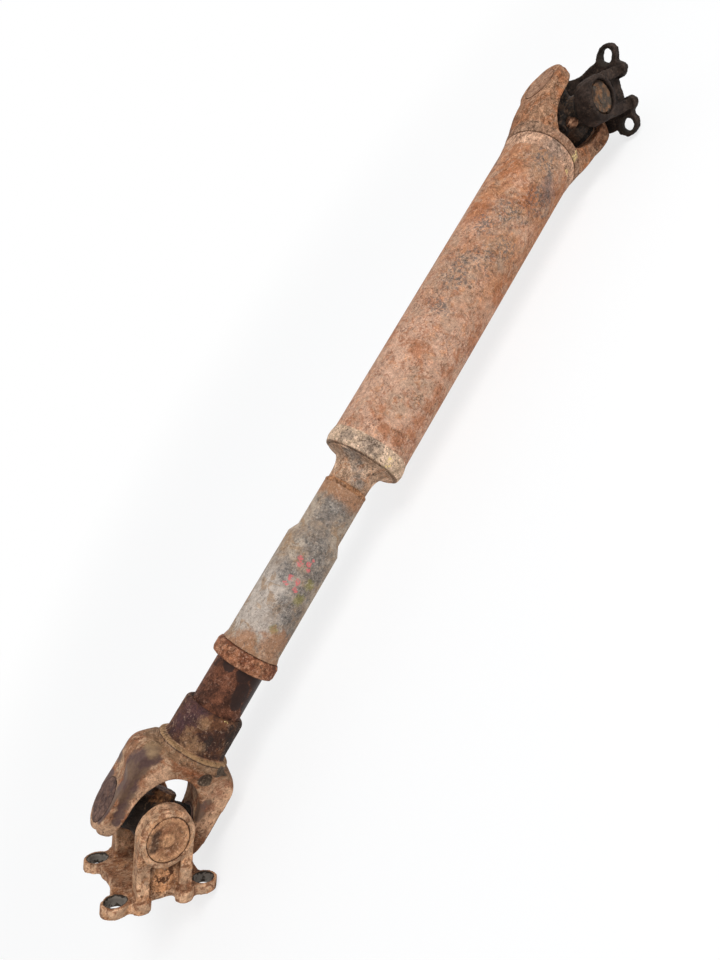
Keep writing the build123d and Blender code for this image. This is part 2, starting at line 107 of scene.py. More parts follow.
class Finish:
    """One procedural finish, with short words for what a rusty steel surface needs."""

    def __init__(self, name):
        self.material = bpy.data.materials.new(name)
        self.material.use_nodes = True
        self.tree = self.material.node_tree
        self.shader = self.tree.nodes["Principled BSDF"]
        self.place = self.node("ShaderNodeTexCoord").outputs["Object"]

    def node(self, kind, **settings):
        made = self.tree.nodes.new(kind)
        for key, value in settings.items():
            setattr(made, key, value)
        return made

    def feed(self, socket, value):
        """Gives a socket another socket, a colour or a number."""
        if isinstance(value, bpy.types.NodeSocket):
            self.tree.links.new(value, socket)
        elif hasattr(value, "__len__") and len(value) == 3 and socket.type == "RGBA":
            socket.default_value = (*value, 1)
        else:
            socket.default_value = value

    def noise(self, grain, detail=3.0, rough=0.55, twist=0.0):
        """Cloudy noise whose patches are about grain millimetres across."""
        cloud = self.node("ShaderNodeTexNoise")
        self.feed(cloud.inputs["Vector"], self.place)
        cloud.inputs["Scale"].default_value = 1 / (grain * MM)
        cloud.inputs["Detail"].default_value = detail
        cloud.inputs["Roughness"].default_value = rough
        cloud.inputs["Distortion"].default_value = twist
        return cloud.outputs["Fac"]

    def window(self, value, low, high, flip=False):
        """0 below low, 1 above high, smooth between; the other way round with flip."""
        step = self.node("ShaderNodeMapRange", interpolation_type="SMOOTHSTEP")
        self.feed(step.inputs["Value"], value)
        step.inputs["From Min"].default_value = low
        step.inputs["From Max"].default_value = high
        step.inputs["To Min"].default_value = 1.0 if flip else 0.0
        step.inputs["To Max"].default_value = 0.0 if flip else 1.0
        return step.outputs["Result"]

    def calc(self, operation, first, second=0.5):
        worked = self.node("ShaderNodeMath", operation=operation)
        self.feed(worked.inputs[0], first)
        self.feed(worked.inputs[1], second)
        return worked.outputs[0]

    def times(self, first, second):
        return self.calc("MULTIPLY", first, second)

    def mix(self, share, under, over):
        blend = self.node("ShaderNodeMix", data_type="RGBA")
        self.feed(blend.inputs["Factor"], share)
        self.feed(blend.inputs["A"], under)
        self.feed(blend.inputs["B"], over)
        return blend.outputs["Result"]

    def lay(self, colour, where, share, over):
        """A colour with another laid on it: as much as the share where the mask is 1."""
        return self.mix(self.times(where, share), colour, over)

    def scaled(self, colour, value):
        """Colour made lighter or darker by a value about 1."""
        vector = self.node("ShaderNodeVectorMath", operation="SCALE")
        self.feed(vector.inputs[0], colour)
        self.feed(vector.inputs["Scale"], value)
        return vector.outputs["Vector"]

    def from_point(self, centre, fold=False):
        """Place counted from a point; with fold, both sides of its two mirror planes are alike."""
        shift = self.node("ShaderNodeVectorMath", operation="SUBTRACT")
        self.feed(shift.inputs[0], self.place)
        shift.inputs[1].default_value = centre
        if not fold:
            return shift.outputs["Vector"]
        split = self.node("ShaderNodeSeparateXYZ")
        self.feed(split.inputs["Vector"], shift.outputs["Vector"])
        join = self.node("ShaderNodeCombineXYZ")
        self.feed(join.inputs["X"], split.outputs["X"])
        self.feed(join.inputs["Y"], self.calc("ABSOLUTE", split.outputs["Y"]))
        self.feed(join.inputs["Z"], self.calc("ABSOLUTE", split.outputs["Z"]))
        return join.outputs["Vector"]

    def from_axis(self, centre, axis):
        """Distance from the line that runs through a point along an axis, in metres."""
        cross = self.node("ShaderNodeVectorMath", operation="CROSS_PRODUCT")
        self.feed(cross.inputs[0], self.from_point(centre))
        cross.inputs[1].default_value = axis
        length = self.node("ShaderNodeVectorMath", operation="LENGTH")
        self.feed(length.inputs[0], cross.outputs["Vector"])
        return length.outputs["Value"]

    def wobble(self, grain, reach, detail=3.0, rough=0.55):
        """Noise about 0 that makes an edge ragged."""
        return self.times(self.calc("SUBTRACT", self.noise(grain, detail, rough), 0.5), reach)

    def spots(self, places, soft=0.35, grain=5.0, ragged=0.8):
        """Ragged patches round points, each given as (point, radius in millimetres)."""
        wobble = self.wobble(grain, 2 * ragged, 4, 0.65)
        nearest = None
        for centre, radius in places:
            gap = self.node("ShaderNodeVectorMath", operation="DISTANCE")
            self.feed(gap.inputs[0], self.place)
            gap.inputs[1].default_value = centre
            away = self.calc("DIVIDE", gap.outputs["Value"], radius * MM)
            nearest = away if nearest is None else self.calc("MINIMUM", nearest, away)
        return self.window(self.calc("ADD", nearest, wobble), 1 - soft, 1 + soft, flip=True)

    def flecks(self, places):
        """Broken specks of bright paint at chosen places."""
        broken = self.window(self.noise(1.3, 3, 0.75), 0.47, 0.53)
        return self.times(self.spots(places, 0.25, 1.6, 1.6), broken)

    def band(self, start, end, soft=2.0, grain=8.0, ragged=3.0):
        """A ring round the shaft between two distances from the lower joint, with ragged edges."""
        split = self.node("ShaderNodeSeparateXYZ")
        self.feed(split.inputs["Vector"], self.place)
        along = self.calc("ADD", split.outputs["X"], self.wobble(grain, 4 * ragged * MM, 4, 0.65))
        left = LOWER_JOINT.x + start * MM
        right = LOWER_JOINT.x + end * MM
        rise = self.window(along, left - soft * MM, left + soft * MM)
        fall = self.window(along, right - soft * MM, right + soft * MM, flip=True)
        return self.times(rise, fall)

    def layer(self, centre, axis, near, far, soft=0.4):
        """The slab between two distances along an axis from a point, in millimetres."""
        reach = self.node("ShaderNodeVectorMath", operation="DOT_PRODUCT")
        self.feed(reach.inputs[0], self.from_point(centre))
        reach.inputs[1].default_value = axis
        value = reach.outputs["Value"]
        rise = self.window(value, (near - soft) * MM, (near + soft) * MM)
        fall = self.window(value, (far - soft) * MM, (far + soft) * MM, flip=True)
        return self.times(rise, fall)

    def corners(self, reach=4.0, low=0.35, high=0.95):
        """1 where the surface is closed in by others, 0 in the open; the finishes lay painted shade there."""
        shade = self.node("ShaderNodeAmbientOcclusion", samples=8)
        shade.inputs["Distance"].default_value = reach * MM
        return self.window(shade.outputs["AO"], low, high, flip=True)

    def blotches(self, grain, share, low=0.50, high=0.60, detail=4, rough=0.65, twist=0.8):
        """Scattered stains about grain millimetres across, as strong as the share."""
        return self.times(self.window(self.noise(grain, detail, rough, twist), low, high), share)

    def crust(self, colour, dark, pale, dark_share=0.6, pale_share=0.4, grain=1.0, contrast=1.0):
        """Rust's own grain: light and dark crumbs, clusters of pits, pale dust; gives colour and height."""
        for size, low, high in ((0.95, 0.52, 0.45), (4.2, 0.50, 0.42)):
            shade = self.node("ShaderNodeMapRange")
            self.feed(shade.inputs["Value"], self.noise(size * grain, 3, 0.65))
            shade.inputs["From Min"].default_value = 0.32
            shade.inputs["From Max"].default_value = 0.68
            shade.inputs["To Min"].default_value = 1 - low * contrast
            shade.inputs["To Max"].default_value = 1 + high * contrast
            colour = self.scaled(colour, shade.outputs["Result"])
        crumbs = self.window(self.noise(2.1 * grain, 3, 0.7), 0.53, 0.64)
        dust = self.window(self.noise(11 * grain, 3, 0.6), 0.42, 0.60)
        colour = self.lay(colour, self.times(crumbs, dust), pale_share, pale)
        holes = self.window(self.noise(1.9 * grain, 3, 0.7, 0.5), 0.39, 0.48, flip=True)
        where = self.window(self.noise(13 * grain, 4, 0.65, 0.5), 0.44, 0.60)
        pits = self.times(holes, where)
        colour = self.lay(colour, pits, dark_share, dark)
        rare = self.window(self.noise(3.4 * grain, 3, 0.6), 0.30, 0.37, flip=True)
        colour = self.lay(colour, rare, dark_share, dark)
        height = self.calc("SUBTRACT", self.noise(2.4 * grain, 4, 0.7), self.times(pits, 0.35))
        height = self.calc("SUBTRACT", height, self.times(rare, 0.3))
        return colour, height

    def close(self, colour, rough, height=None, depth=0.3, metal=0.0, gloss=0.12):
        """Feeds the shader and gives the finished material; depth is the bumps' height in millimetres."""
        self.feed(self.shader.inputs["Base Color"], colour)
        self.feed(self.shader.inputs["Roughness"], rough)
        self.feed(self.shader.inputs["Metallic"], metal)
        self.shader.inputs["Specular IOR Level"].default_value = gloss
        if height is not None:
            bump = self.node("ShaderNodeBump")
            bump.inputs["Strength"].default_value = 1.0
            bump.inputs["Distance"].default_value = depth * MM
            self.feed(bump.inputs["Height"], height)
            self.feed(self.shader.inputs["Normal"], bump.outputs["Normal"])
        return self.material


def tube_rust():
    """Wide tube: orange-brown rust, paler towards the neck, with olive stains, flames and cold specks."""
    finish = Finish("tube_rust")
    broad = finish.window(finish.noise(40, 4, 0.6, 0.6), 0.40, 0.60)
    colour = finish.mix(broad, (0.44, 0.205, 0.105), (0.53, 0.29, 0.185))
    low_end = finish.band(290, 455, soft=50, grain=30, ragged=16)
    colour = finish.lay(colour, low_end, 0.8, (0.575, 0.355, 0.25))
    olive = around(
        TUBE_RADIUS, (590, 25, 16), (533, 26, 14), (500, 12, 15), (462, 48, 15), (570, 200, 24),
        (480, 150, 26), (371, 14, 10), (347, 24, 9), (359, 4, 6),
    )
    colour = finish.lay(colour, finish.spots(olive, 0.7, 9, 1.6), 0.45, (0.34, 0.25, 0.17))
    flames = around(
        TUBE_RADIUS, (555, 16, 10), (572, 62, 11), (334.6, 46, 5), (324.5, 24, 5), (326, -2, 7),
        (321, 71, 5), (369, -36, 9), (393, 36, 8), (478, -34, 12), (430, -40, 12), (528, 76, 12),
        (450, 200, 22), (350, 150, 18), (560, 240, 20), (400, 110, 12), (409, -20, 5), (393, -19, 6),
        (376, -19, 6), (360, -21, 6), (347, -20, 6), (335, -17, 6), (336, 40, 6), (394, 42, 7),
        (324, 20, 5),
    )
    colour = finish.lay(colour, finish.spots(flames, 0.5, 5, 1.8), 0.65, (0.40, 0.135, 0.05))
    colour = finish.mix(finish.blotches(9, 0.6, 0.53, 0.62), colour, (0.31, 0.12, 0.06))
    clouds = finish.window(finish.noise(24, 3), 0.46, 0.57)
    mottle = finish.times(finish.blotches(4.2, 0.7, 0.50, 0.58), clouds)
    colour = finish.mix(mottle, colour, (0.33, 0.135, 0.07))
    colour = finish.mix(finish.blotches(5, 0.5, 0.54, 0.63), colour, (0.58, 0.27, 0.13))
    colour = finish.mix(finish.blotches(17, 0.5, 0.51, 0.62), colour, (0.46, 0.31, 0.215))
    dusk = finish.spots(around(TUBE_RADIUS, (572.7, -9, 8), (580, 0, 5)), 0.7, 5, 1.4)
    colour = finish.lay(colour, dusk, 0.6, (0.12, 0.10, 0.10))
    specks = around(
        TUBE_RADIUS, (462.3, 45, 12), (486.2, 27, 11), (477.7, 51, 9), (533.3, 26, 12), (505, 5, 11),
        (434.7, 43, 9), (515, 50, 10), (592, 20, 12), (515, 160, 15), (585, 120, 13), (420, 280, 17),
        (560, -6, 12),
    )
    grit = finish.window(finish.noise(2.6, 3, 0.7), 0.44, 0.53, flip=True)
    cold = finish.times(finish.spots(specks, 0.8, 5, 2.0), grit)
    colour = finish.lay(colour, cold, 0.8, (0.13, 0.11, 0.10))
    colour, height = finish.crust(colour, RUST_DARK_AND_SHADE, (0.74, 0.54, 0.41), 0.5, 0.3, contrast=0.55)
    rough = finish.calc("ADD", finish.times(finish.noise(6), 0.4), 0.55)
    return finish.close(colour, rough, height, 0.4)


def hub_rust():
    """Tube fork: dull brown rust on the hub, black grease over the joint, gold flecks by the weld."""
    finish = Finish("hub_rust")
    broad = finish.window(finish.noise(26, 4, 0.6, 0.5), 0.40, 0.60)
    colour = finish.mix(broad, (0.26, 0.115, 0.058), (0.38, 0.205, 0.118))
    colour = finish.mix(finish.blotches(9, 0.55, 0.53, 0.61), colour, (0.22, 0.10, 0.055))
    colour = finish.mix(finish.blotches(14, 0.5), colour, (0.38, 0.135, 0.05))
    ring = finish.band(611, 622, 1.5, 6, 1.5)
    colour = finish.lay(colour, ring, 0.4, (0.32, 0.22, 0.155))
    near_crack = finish.band(611.6, 612.6, 0.25, 6, 0.5)
    far_crack = finish.band(620, 621.2, 0.3, 7, 0.9)
    cracks = finish.calc("MAXIMUM", near_crack, far_crack)
    broken = finish.window(finish.noise(9, 3), 0.40, 0.56)
    colour = finish.lay(colour, finish.times(cracks, broken), 0.7, (0.07, 0.04, 0.028))
    black = finish.spots(beside(UPPER_JOINT, (4, 0, 0, 29)), 0.10, 6, 0.25)
    colour = finish.mix(black, colour, SOOT_AND_SHADE)
    # Painted shade: corners and gaps darkened to near black
    colour = finish.lay(colour, finish.corners(5), 0.7, SOOT_AND_SHADE)
    gold = around(35, (614.9, -17, 3.0), (611.0, -19, 2.2), (618.5, -13, 1.6))
    colour = finish.mix(finish.flecks(gold), colour, GOLD)
    colour, height = finish.crust(colour, RUST_DARK_AND_SHADE, (0.58, 0.42, 0.30), 0.65, 0.35)
    return finish.close(colour, 0.78, height, 0.4)


def fork_scale():
    """Lower fork: tan ridges, smooth plum scale in the hollows and on the milled flats, brown collar."""
    finish = Finish("fork_scale")
    broad = finish.window(finish.noise(14, 4, 0.6, 0.6), 0.42, 0.60)
    colour = finish.mix(broad, (0.28, 0.135, 0.072), (0.50, 0.31, 0.19))
    colour = finish.mix(finish.blotches(7, 0.75, 0.51, 0.60), colour, (0.29, 0.11, 0.05))
    tan = beside(
        LOWER_JOINT, (33, -17, -31, 12), (16, -17, -34, 9), (22, -18, 19, 7), (10, -18, 21.5, 6),
        (30, -19, 22, 5), (-16, -8, 38, 9), (-14, -16, 31, 8), (12, -12, 38.6, 4), (33, -19, 17.5, 6),
    )
    colour = finish.lay(colour, finish.spots(tan, 0.5, 5, 1.0), 0.75, (0.60, 0.365, 0.225))

    hollows = beside(
        LOWER_JOINT, (-4, -18, 29.5, 3.6), (1, -18, 30, 4.2), (7, -18, 31, 4.6), (14, -18, 34, 6),
        (20, -18, 36, 8), (27, -16, 38, 9), (34, -16, 38, 9.5), (39, -17, 36, 8), (43, -16, 34, 8),
        (42, -20, 30, 6), (19, -18.3, -21, 7), (26, -17, -24, 4), (30, 17, 36, 10), (10, 18, 31, 6),
    )
    smooth = finish.spots(hollows, 0.22, 7, 0.5)
    split = finish.node("ShaderNodeSeparateXYZ")
    finish.feed(split.inputs["Vector"], finish.from_point(LOWER_JOINT, fold=True))
    ear_top = finish.window(split.outputs["Z"], 0.0376, 0.0384)
    reach = finish.calc("ADD", split.outputs["X"], finish.wobble(6, 0.02))
    milled = finish.times(
        finish.window(reach, 0.014, 0.018, flip=True), finish.window(reach, -0.014, -0.010),
    )
    smooth = finish.calc("MAXIMUM", smooth, finish.times(ear_top, milled))
    clouds = finish.window(finish.noise(13, 3), 0.42, 0.60)
    plum = finish.mix(clouds, (0.095, 0.055, 0.05), (0.15, 0.092, 0.062))
    colour = finish.lay(colour, smooth, 0.95, plum)

    worn = finish.spots(beside(LOWER_JOINT, (48, -10, 33, 5.5), (46, -17, 33, 4)), 0.7, 4, 0.8)
    colour = finish.lay(colour, worn, 0.8, (0.34, 0.22, 0.12))
    rust = beside(
        LOWER_JOINT, (24, -17, -28, 4), (36, -17, -28, 5), (44, -18, -30, 4), (52, -14, -27, 4),
    )
    colour = finish.lay(colour, finish.spots(rust, 0.8, 3, 2.4), 0.7, (0.23, 0.085, 0.045))
    crotch = beside(LOWER_JOINT, (44, -23, 2, 8), (46, -24, 8, 7), (44, -23, -6, 5))
    colour = finish.lay(colour, finish.spots(crotch, 0.4, 3, 1.3), 0.7, (0.29, 0.095, 0.036))
    shoulder = finish.band(47.0, 53.8, 1.5, 6, 1.2)
    colour = finish.lay(colour, shoulder, 0.6, (0.21, 0.125, 0.068))
    bead = finish.band(54.2, 56.2, 0.3, 5, 0.2)
    colour = finish.lay(colour, bead, 0.95, (0.35, 0.205, 0.10))
    # Painted shade: a near-black line along the step below the bead
    groove = finish.band(53.3, 54.0, 0.3, 4, 0.3)
    colour = finish.lay(colour, groove, 0.85, (0.04, 0.026, 0.02))

    collar = finish.band(56.5, 95, 0.4, 5, 0.3)
    brown = finish.window(finish.noise(9, 4, 0.65, 0.6), 0.42, 0.58)
    brown = finish.mix(brown, (0.055, 0.025, 0.018), (0.135, 0.057, 0.028))
    colour = finish.mix(collar, colour, brown)
    purple = around(COLLAR_RADIUS, (78, 64, 10), (68, 74, 9), (84, 46, 6))
    colour = finish.lay(colour, finish.spots(purple, 0.6, 4, 1.0), 0.7, (0.075, 0.037, 0.043))
    black = around(
        COLLAR_RADIUS, (62.5, 8, 2.6), (66, 8, 3), (69.5, 7, 2.2), (76, -50, 12), (64, -52, 8),
        (82, -20, 2.5),
    )
    colour = finish.lay(colour, finish.spots(black, 0.25, 3, 0.6), 0.85, (0.028, 0.02, 0.017))
    pale = around(COLLAR_RADIUS, (60, 34, 6), (66, 44, 4), (61, 18, 4), (77, 30, 4))
    colour = finish.lay(colour, finish.spots(pale, 0.6, 2.4, 1.8), 0.6, (0.34, 0.19, 0.10))
    # The first patch darkens the dimple; the two by the ring are a painted shadow under its step
    dimple_and_ring_shadow = beside(LOWER_JOINT, (41.5, -18.5, -12, 5.4), (51, -23, -18, 4.5), (52, -21, -23, 3.5))
    colour = finish.lay(colour, finish.spots(dimple_and_ring_shadow, 0.12, 4, 0.3), 0.9, (0.08, 0.062, 0.045))
    # Painted shade: corners and the gaps between the arms darkened to dark brown
    colour = finish.lay(colour, finish.corners(9), 0.9, (0.045, 0.025, 0.016))
    gold = around(23, (84.4, -6, 0.9), (84.4, -1, 0.7))
    colour = finish.mix(finish.flecks(gold), colour, GOLD)

    grainy, height = finish.crust(
        colour, (0.045, 0.024, 0.018), (0.66, 0.45, 0.31), 0.65, 0.3, contrast=0.65,
    )
    calm = finish.scaled(colour, finish.calc("ADD", finish.times(finish.noise(1.6, 3, 0.6), 0.8), 0.6))
    colour = finish.lay(grainy, smooth, 0.85, calm)
    rough = finish.calc("SUBTRACT", 0.78, finish.times(smooth, 0.26))
    height = finish.times(height, finish.calc("SUBTRACT", 1.0, finish.times(smooth, 0.8)))
    return finish.close(colour, rough, height, 0.35)


def sleeve_steel():
    """Stepped sleeve: grey worn steel with slate patches, rust at both ends and dabs of red paint."""
    finish = Finish("sleeve_steel")
    broad = finish.window(finish.noise(24, 4, 0.6, 0.5), 0.42, 0.60)
    colour = finish.mix(broad, (0.33, 0.24, 0.17), (0.43, 0.34, 0.26))
    pale = around(SLEEVE_RADIUS, (163, 62, 22), (180, 66, 20), (152, 30, 10), (175, 210, 24))
    colour = finish.lay(colour, finish.spots(pale, 0.6, 10, 1.0), 0.75, (0.50, 0.43, 0.375))
    colour = finish.mix(finish.blotches(11, 0.6, 0.52, 0.61), colour, (0.34, 0.20, 0.10))

    slates = around(SLEEVE_TAIL_RADIUS, (255.6, 22, 12), (247, 35, 8))
    slates += around(
        SLEEVE_RADIUS, (226.4, 23, 12), (214, 2, 11), (205.4, -14, 10), (197.3, 42, 8), (186, -4, 9),
        (166.7, -9, 11), (176, 6, 8), (157, -28, 9), (200, 150, 14),
    )
    slates += around(20, (240, 250, 14))
    cold = finish.times(finish.spots(slates, 0.8, 6, 1.7), 0.6)
    colour = finish.mix(cold, colour, (0.155, 0.145, 0.14))
    grit = finish.window(finish.noise(2.4, 3, 0.7), 0.43, 0.52, flip=True)
    colour = finish.lay(colour, finish.times(cold, grit), 0.9, (0.05, 0.05, 0.05))
    chalk = finish.window(finish.noise(1.8, 3, 0.7), 0.56, 0.64)
    colour = finish.lay(colour, finish.times(cold, chalk), 0.6, (0.50, 0.45, 0.39))
    greens = around(SLEEVE_RADIUS, (183, -8, 4), (196, -12, 4), (155.4, 8, 3))
    colour = finish.lay(colour, finish.spots(greens, 0.4, 2.5, 1.3), 0.7, (0.26, 0.22, 0.07))

    rust = finish.calc("MAXIMUM", finish.band(118, 139, 4, 9, 6), finish.band(262, 290, 5, 8, 5))
    edges = around(SLEEVE_RADIUS, (146, -12, 12), (138, 44, 9))
    edges += around(SLEEVE_TAIL_RADIUS, (268, -20, 8))
    rust = finish.calc("MAXIMUM", rust, finish.spots(edges, 0.4, 6, 1.2))
    colour = finish.lay(colour, rust, 0.8, (0.36, 0.175, 0.09))
    # Painted shade: corners darkened to dark rust brown
    colour = finish.lay(colour, finish.corners(3), 0.6, RUST_DARK_AND_SHADE)
    colour, height = finish.crust(
        colour, (0.07, 0.062, 0.058), (0.60, 0.52, 0.43), 0.45, 0.3, contrast=0.45,
    )
    dabs = around(
        SLEEVE_RADIUS, (210, 34, 2.0), (206, 29, 2.2), (209, 13, 2.0), (205, 8, 1.6), (213, 9, 1.2),
        (194, 31, 2.0), (189, 34, 1.8), (194, 15, 2.2), (188, 11, 1.8),
    )
    broken = finish.window(finish.noise(1.4, 3), 0.36, 0.50)
    red = finish.times(finish.spots(dabs, 0.12, 1.8, 1.5), broken)
    colour = finish.lay(colour, red, 0.85, (0.62, 0.15, 0.15))
    return finish.close(colour, 0.66, height, 0.3)


def cap_rust():
    """Dust cap: dark red-brown rust with lighter stains."""
    finish = Finish("cap_rust")
    broad = finish.window(finish.noise(12, 4, 0.6, 0.6), 0.42, 0.60)
    colour = finish.mix(broad, (0.19, 0.068, 0.034), (0.35, 0.145, 0.073))
    colour = finish.mix(finish.blotches(7, 0.6, 0.53, 0.61), colour, (0.52, 0.265, 0.155))
    colour, height = finish.crust(colour, RUST_DARK_AND_SHADE, (0.60, 0.42, 0.31), 0.6, 0.35)
    return finish.close(colour, 0.75, height, 0.3)


def journal_smear():
    """Slip shaft: dark rust with smears of old grease."""
    finish = Finish("journal_smear")
    broad = finish.window(finish.noise(12, 3, 0.55, 0.8), 0.40, 0.58)
    colour = finish.mix(broad, (0.068, 0.026, 0.015), (0.15, 0.056, 0.03))
    colour, height = finish.crust(colour, (0.03, 0.014, 0.011), (0.36, 0.21, 0.15), 0.55, 0.4)
    smears = around(
        JOURNAL_RADIUS, (102.5, -8, 6.5), (97, -9, 5), (107, -6, 5.5), (118, 10, 6), (118, 50, 5),
        (117, -30, 6), (100, -52, 9), (110, -55, 9), (103, 200, 12),
    )
    wet = finish.spots(smears, 0.12, 5, 0.5)
    colour = finish.lay(colour, wet, 0.93, (0.028, 0.014, 0.011))
    rough = finish.calc("SUBTRACT", 0.66, finish.times(wet, 0.25))
    return finish.close(colour, rough, height, 0.2)


def neck_dust():
    """Neck between sleeve and tube: pale dusty rust with a broken crack at its wide end."""
    finish = Finish("neck_dust")
    broad = finish.window(finish.noise(14, 4, 0.6, 0.5), 0.42, 0.60)
    colour = finish.mix(broad, (0.42, 0.26, 0.165), (0.62, 0.41, 0.275))
    cold = around(24, (297.8, 50, 7)) + around(17, (283, 8, 6)) + around(19, (292, 25, 6))
    colour = finish.lay(colour, finish.spots(cold, 0.6, 5, 1.6), 0.6, (0.19, 0.18, 0.165))
    colour = finish.mix(finish.blotches(8, 0.6, 0.53, 0.62), colour, (0.42, 0.19, 0.09))
    broken = finish.window(finish.noise(7, 3), 0.36, 0.52)
    crack = finish.times(finish.band(299.0, 300.6, 0.3, 4, 0.3), broken)
    colour = finish.lay(colour, crack, 0.5, (0.07, 0.045, 0.03))
    colour, height = finish.crust(colour, (0.05, 0.04, 0.035), (0.66, 0.52, 0.40), 0.6, 0.35)
    return finish.close(colour, 0.75, height, 0.3)


def weld_rust(name, under, over, gold=()):
    """Weld bead: rust in its own two tones with cold patches and, on some, gold flecks."""
    finish = Finish(name)
    broad = finish.window(finish.noise(10, 4, 0.65, 0.8), 0.40, 0.60)
    colour = finish.mix(broad, under, over)
    cold = around(TUBE_WELD_RADIUS, (309.4, 27, 9), (308, 62, 6), (606, 18, 10))
    colour = finish.lay(colour, finish.spots(cold, 0.6, 5, 1.8), 0.6, (0.16, 0.125, 0.105))
    colour, height = finish.crust(colour, RUST_DARK_AND_SHADE, (0.68, 0.52, 0.38), 0.7, 0.4)
    if gold:
        colour = finish.mix(finish.flecks(gold), colour, GOLD)
    return finish.close(colour, 0.8, height, 0.4)


def bolted_flange(name, joint, axis, ear_axis, base, floor, web, dark, crumbs, shine):
    """Flange yoke: its own colour on the sides, the floor between the ears, the webs and the bolt holes."""
    finish = Finish(name)
    broad = finish.window(finish.noise(12, 4, 0.6, 0.6), 0.42, 0.60)
    colour = finish.mix(broad, toned(base, 0.72), toned(base, 1.15))
    inside = finish.layer(joint, axis, *EAR_FLOOR)
    clouds = finish.window(finish.noise(9, 4, 0.6, 0.8), 0.42, 0.58)
    stains = finish.calc("ADD", finish.times(clouds, 0.6), 0.35)
    colour = finish.mix(finish.times(inside, stains), colour, floor)
    web_height, web_offset = EAR_WEB
    webs = [joint + (axis * web_height + ear_axis * side * web_offset) * MM for side in (-1, 1)]
    panel = finish.spots([(middle, 9.5) for middle in webs], 0.25, 5, 0.6)
    colour = finish.lay(colour, panel, 0.8, toned(web, 1.15))
    colour = finish.mix(finish.blotches(11, 0.5, 0.50, 0.60), colour, web)
    colour = finish.mix(finish.blotches(5, 0.75, 0.51, 0.60), colour, dark)
    scabs = finish.window(finish.noise(4.5, 3, 0.6), 0.53, 0.57)
    colour = finish.lay(colour, finish.times(panel, scabs), 0.9, toned(dark, 0.3))
    # Painted shade: corners darkened
    colour = finish.lay(colour, finish.corners(8), 0.85, toned(dark, 0.35))
    colour, height = finish.crust(colour, toned(dark, 0.3), crumbs, 0.6, 0.35, contrast=0.65)

    across = axis.cross(ear_axis)
    holes = []
    for side in (-1, 1):
        for other in (-1, 1):
            offset = (ear_axis * side + across * other) * BOLT_OFFSET
            holes.append(joint + (axis * BOLT_FACE + offset) * MM)
    rim = finish.spots([(hole, BOLT_RIM_RADIUS) for hole in holes], 0.05, 3, 0.12)
    colour = finish.mix(rim, colour, (0.032, 0.024, 0.018))
    bare = finish.spots([(hole, BOLT_BARE_RADIUS) for hole in holes], 0.06, 3, 0.5)
    colour = finish.lay(colour, bare, shine, (0.20, 0.175, 0.15))
    return finish.close(colour, 0.72, height, 0.35, finish.times(bare, 0.7 * shine))


def black_grease():
    """Upper cross: wet black grease with brown dirt in it."""
    finish = Finish("black_grease")
    broad = finish.window(finish.noise(9, 4, 0.65, 0.8), 0.46, 0.62)
    colour = finish.lay((0.020, 0.015, 0.012), broad, 0.5, (0.14, 0.08, 0.048))
    crumbs = finish.window(finish.noise(1.7, 3, 0.7), 0.55, 0.66)
    colour = finish.lay(colour, crumbs, 0.4, (0.24, 0.155, 0.095))
    rough = finish.calc("ADD", finish.times(finish.noise(5, 3), 0.5), 0.35)
    return finish.close(colour, rough, finish.noise(2.2, 4, 0.7), 0.5, gloss=0.25)


def cup_face(name, under, over, dark, pale, shadow_crescent=(), rings=None):
    """Rusted end of a bearing cup; rings is the joint and axis round which painted highlights on the boss and rim
    and painted shade in the dish and at the edge are laid.
    """
    finish = Finish(name)
    broad = finish.window(finish.noise(7, 4, 0.6, 0.6), 0.42, 0.60)
    colour = finish.mix(broad, under, over)
    if rings:
        # Painted highlight on the raised boss and rim, painted shade in the dish and a dark ring at the disc's
        # edge
        radius = finish.calc("ADD", finish.from_axis(*rings), finish.wobble(5, 0.004))
        boss = finish.window(radius, 0.0038, 0.0046, flip=True)
        rim_start = finish.window(radius, 0.0102, 0.0116)
        rim = finish.times(rim_start, finish.window(radius, 0.0136, 0.0142, flip=True))
        dish_start = finish.window(radius, 0.0042, 0.005)
        dish = finish.times(dish_start, finish.window(radius, 0.0088, 0.0108, flip=True))
        edge = finish.window(radius, 0.0141, 0.0144)
        colour = finish.lay(colour, dish, 0.5, toned(under, 0.75))
        colour = finish.lay(colour, finish.calc("MAXIMUM", boss, rim), 0.6, toned(over, 1.25))
        colour = finish.lay(colour, edge, 0.7, dark)
    # Painted shadow: a dark crescent beside the disc
    if shadow_crescent:
        colour = finish.lay(colour, finish.spots(shadow_crescent, 0.4, 4, 0.8), 0.8, dark)
    # Painted shade: corners of the cup's end darkened
    colour = finish.lay(colour, finish.corners(1.5), 0.5, dark)
    colour, height = finish.crust(colour, dark, pale, 0.55, 0.35, grain=0.9, contrast=0.7)
    return finish.close(colour, 0.72, height, 0.25)


def cross_rust():
    """Lower cross: black grease with rust-brown lumps where the dirt has dried."""
    finish = Finish("cross_rust")
    lumps = beside(LOWER_JOINT, (17, 0, 1, 8), (16, -6, 7, 6), (14, 12, -6, 8), (-16, 4, 4, 9))
    dried = finish.spots(lumps, 0.5, 4, 1.4)
    broad = finish.window(finish.noise(5, 4, 0.65, 0.6), 0.42, 0.58)
    brown = finish.mix(broad, (0.12, 0.05, 0.025), (0.36, 0.17, 0.075))
    colour = finish.mix(dried, (0.028, 0.019, 0.014), brown)
    # Painted shade: corners darkened to near black
    colour = finish.lay(colour, finish.corners(5), 0.8, (0.012, 0.008, 0.006))
    colour, height = finish.crust(colour, SOOT_AND_SHADE, (0.40, 0.25, 0.14), 0.6, 0.25, contrast=0.8)
    return finish.close(colour, 0.6, height, 0.4)


